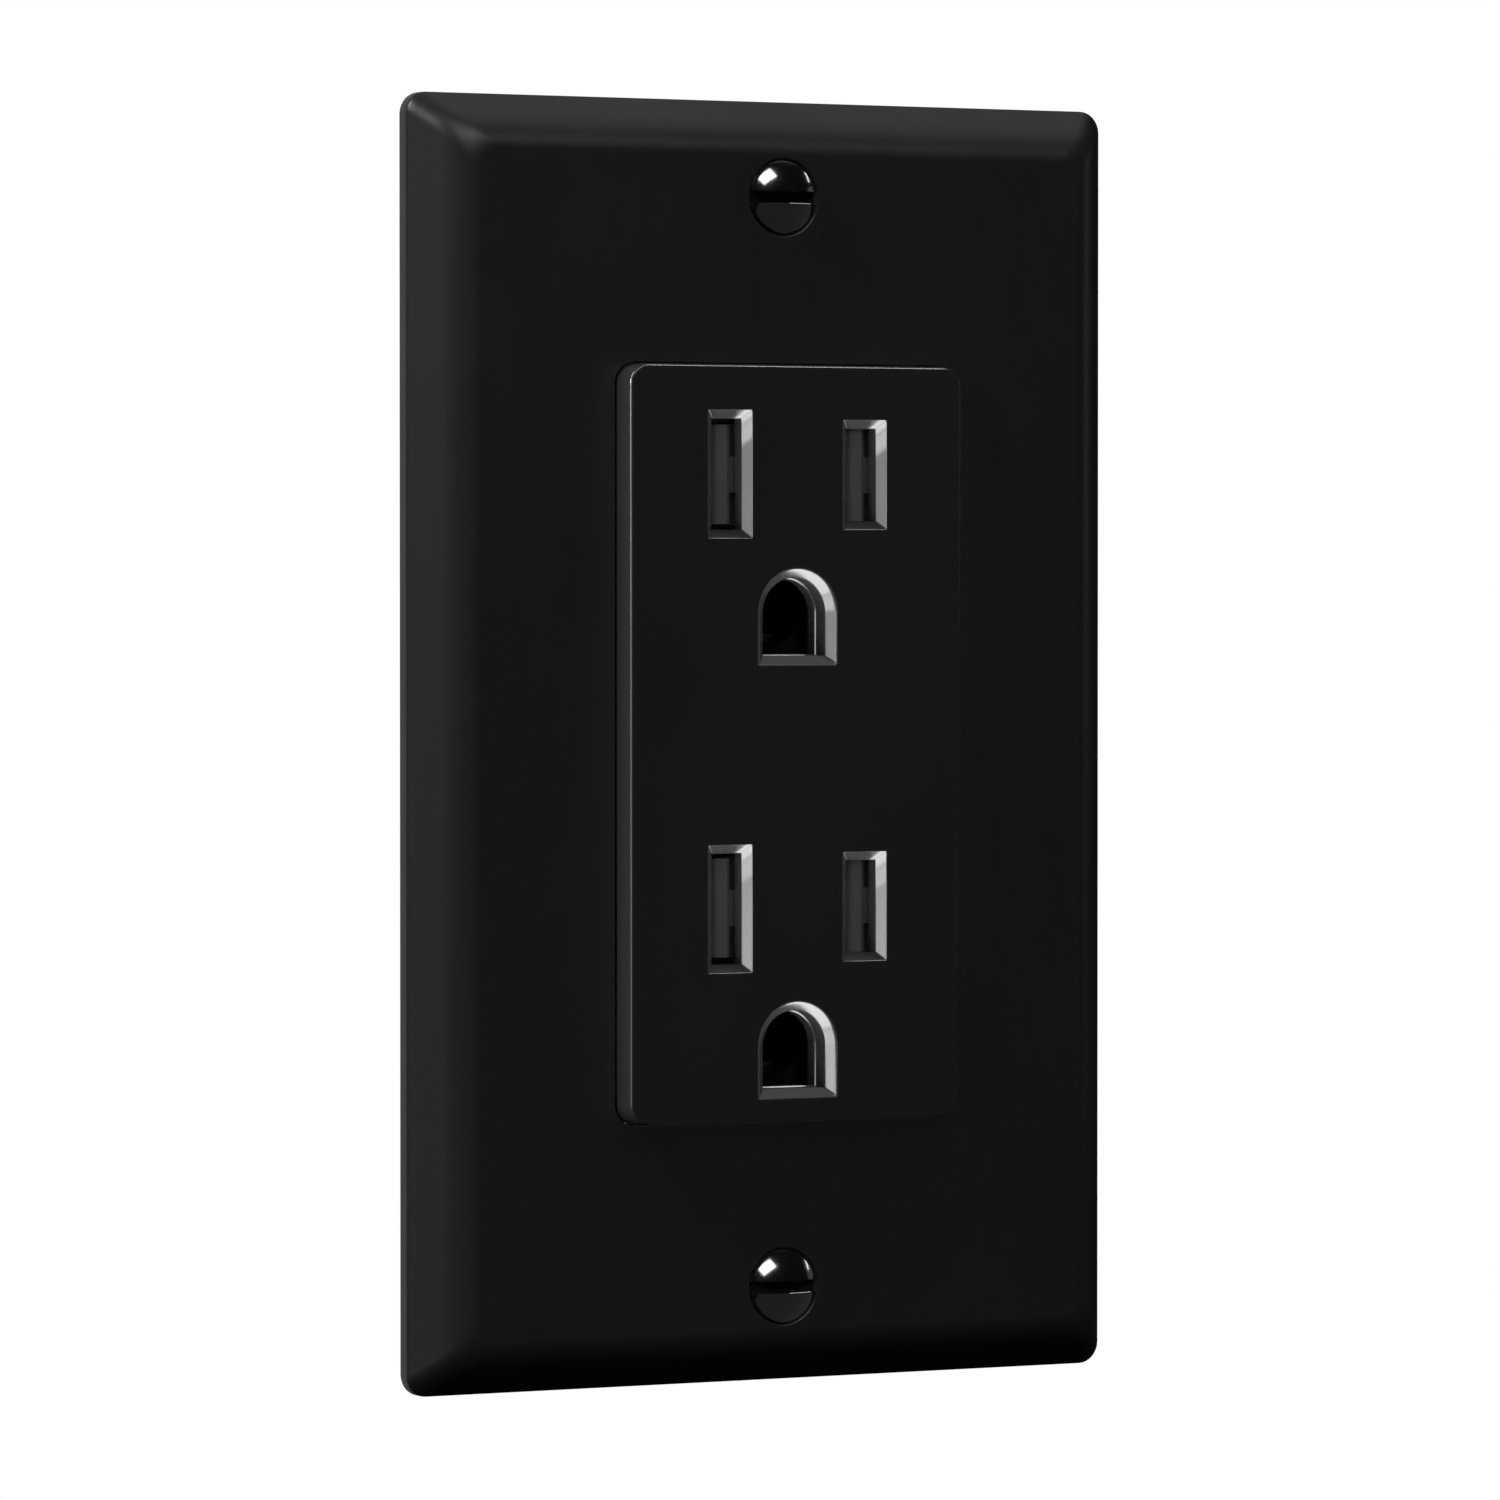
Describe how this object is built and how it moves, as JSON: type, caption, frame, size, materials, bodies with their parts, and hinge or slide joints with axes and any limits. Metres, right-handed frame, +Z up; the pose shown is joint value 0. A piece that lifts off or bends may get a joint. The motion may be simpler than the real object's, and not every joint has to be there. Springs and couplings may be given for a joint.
{
  "type": "duplex wall outlet",
  "caption": "Tamper-resistant duplex receptacle with a rectangular face, steel strap, screw terminals and captive box screws, behind its one-gang wall plate.",
  "frame": {"origin": "middle of the device on the wall surface, halfway between the two box screws", "axes": "+Z up, +X right as seen from the room, -Y out of the wall into the room; y = 0 is the wall surface"},
  "size_m": [0.0698, 0.0333, 0.1142],
  "materials": {
    "plate_plastic": "moulded, satin",
    "face_plastic": "moulded, fine satin texture",
    "body_plastic": "moulded, matt",
    "black_screw": "gloss black paint",
    "zinc_steel": "zinc plated",
    "brass": "stamped",
    "nickel": "nickel plated",
    "green_screw": "green dye over zinc",
    "shutter_plastic": "moulded, matt",
    "guide_plastic": "moulded, natural",
    "spring_steel": "drawn wire",
    "card": "pressed fibre"
  },
  "bodies": {
    "receptacle": {"wall_plate": "plate_plastic", "device_face": "face_plastic", "rear_body": "body_plastic", "mounting_strap": "zinc_steel", "assembly_screws": "zinc_steel", "ground_contact_upper": "brass", "ground_contact_lower": "brass", "ground_rivets": "zinc_steel", "hot_bus": "brass", "neutral_bus": "nickel", "shutter_guide_upper": "guide_plastic", "shutter_guide_lower": "guide_plastic", "shutter_spring_upper": "spring_steel", "shutter_spring_lower": "spring_steel", "screw_retainers": "card"},
    "plate_screw_top": {"plate_screw_top": "black_screw"},
    "plate_screw_bottom": {"plate_screw_bottom": "black_screw"},
    "hot_screw_upper": {"hot_screw_upper": "brass"},
    "hot_screw_lower": {"hot_screw_lower": "brass"},
    "neutral_screw_upper": {"neutral_screw_upper": "nickel"},
    "neutral_screw_lower": {"neutral_screw_lower": "nickel"},
    "hot_clamp_upper": {"hot_clamp_upper": "zinc_steel"},
    "hot_clamp_lower": {"hot_clamp_lower": "zinc_steel"},
    "neutral_clamp_upper": {"neutral_clamp_upper": "zinc_steel"},
    "neutral_clamp_lower": {"neutral_clamp_lower": "zinc_steel"},
    "ground_screw": {"ground_screw": "green_screw"},
    "shutter_upper": {"shutter_upper": "shutter_plastic"},
    "shutter_lower": {"shutter_lower": "shutter_plastic"},
    "box_screw_top": {"box_screw_top": "zinc_steel"},
    "box_screw_bottom": {"box_screw_bottom": "zinc_steel"}
  },
  "joints": [
    {"name": "plate_screw_top_turn", "type": "hinge", "parent": "receptacle", "child": "plate_screw_top", "pos_m": [0, -0.006, 0.04842], "axis": [0, 1, 0], "continuous": true},
    {"name": "plate_screw_bottom_turn", "type": "hinge", "parent": "receptacle", "child": "plate_screw_bottom", "pos_m": [0, -0.006, -0.04842], "axis": [0, 1, 0], "continuous": true},
    {"name": "box_screw_top_turn", "type": "hinge", "parent": "receptacle", "child": "box_screw_top", "pos_m": [0, 0, 0.04167], "axis": [0, 1, 0], "continuous": true},
    {"name": "box_screw_bottom_turn", "type": "hinge", "parent": "receptacle", "child": "box_screw_bottom", "pos_m": [0, 0, -0.04167], "axis": [0, 1, 0], "continuous": true},
    {"name": "ground_screw_turn", "type": "hinge", "parent": "receptacle", "child": "ground_screw", "pos_m": [-0.0165, 0.006, -0.0442], "axis": [1, 0, 0], "continuous": true},
    {"name": "hot_clamp_upper_slide", "type": "slide", "parent": "receptacle", "child": "hot_clamp_upper", "axis": [1, 0, 0], "range_m": [0, 0.00238]},
    {"name": "hot_screw_upper_turn", "type": "hinge", "parent": "receptacle", "child": "hot_screw_upper", "pos_m": [0.016, 0.0115, 0.013], "axis": [-1, 0, 0], "range_deg": [0, 1080]},
    {"name": "hot_clamp_lower_slide", "type": "slide", "parent": "receptacle", "child": "hot_clamp_lower", "axis": [1, 0, 0], "range_m": [0, 0.00238]},
    {"name": "hot_screw_lower_turn", "type": "hinge", "parent": "receptacle", "child": "hot_screw_lower", "pos_m": [0.016, 0.0115, -0.013], "axis": [-1, 0, 0], "range_deg": [0, 1080]},
    {"name": "neutral_clamp_upper_slide", "type": "slide", "parent": "receptacle", "child": "neutral_clamp_upper", "axis": [-1, 0, 0], "range_m": [0, 0.00238]},
    {"name": "neutral_screw_upper_turn", "type": "hinge", "parent": "receptacle", "child": "neutral_screw_upper", "pos_m": [-0.016, 0.0115, 0.013], "axis": [1, 0, 0], "range_deg": [0, 1080]},
    {"name": "neutral_clamp_lower_slide", "type": "slide", "parent": "receptacle", "child": "neutral_clamp_lower", "axis": [-1, 0, 0], "range_m": [0, 0.00238]},
    {"name": "neutral_screw_lower_turn", "type": "hinge", "parent": "receptacle", "child": "neutral_screw_lower", "pos_m": [-0.016, 0.0115, -0.013], "axis": [1, 0, 0], "range_deg": [0, 1080]},
    {"name": "shutter_upper_slide", "type": "slide", "parent": "receptacle", "child": "shutter_upper", "axis": [1, 0, 0], "range_m": [0, 0.0032], "stiffness_N_per_m": 60, "springref_m": -0.004, "deforming": ["shutter_spring_upper"]},
    {"name": "shutter_lower_slide", "type": "slide", "parent": "receptacle", "child": "shutter_lower", "axis": [1, 0, 0], "range_m": [0, 0.0032], "stiffness_N_per_m": 60, "springref_m": -0.004, "deforming": ["shutter_spring_lower"]}
  ],
  "couplings": [
    {"joint": "hot_screw_upper_turn", "follows": "hot_clamp_upper_slide", "rad_per_m": 7915.8},
    {"joint": "hot_screw_lower_turn", "follows": "hot_clamp_lower_slide", "rad_per_m": 7915.8},
    {"joint": "neutral_screw_upper_turn", "follows": "neutral_clamp_upper_slide", "rad_per_m": 7915.8},
    {"joint": "neutral_screw_lower_turn", "follows": "neutral_clamp_lower_slide", "rad_per_m": 7915.8}
  ]
}
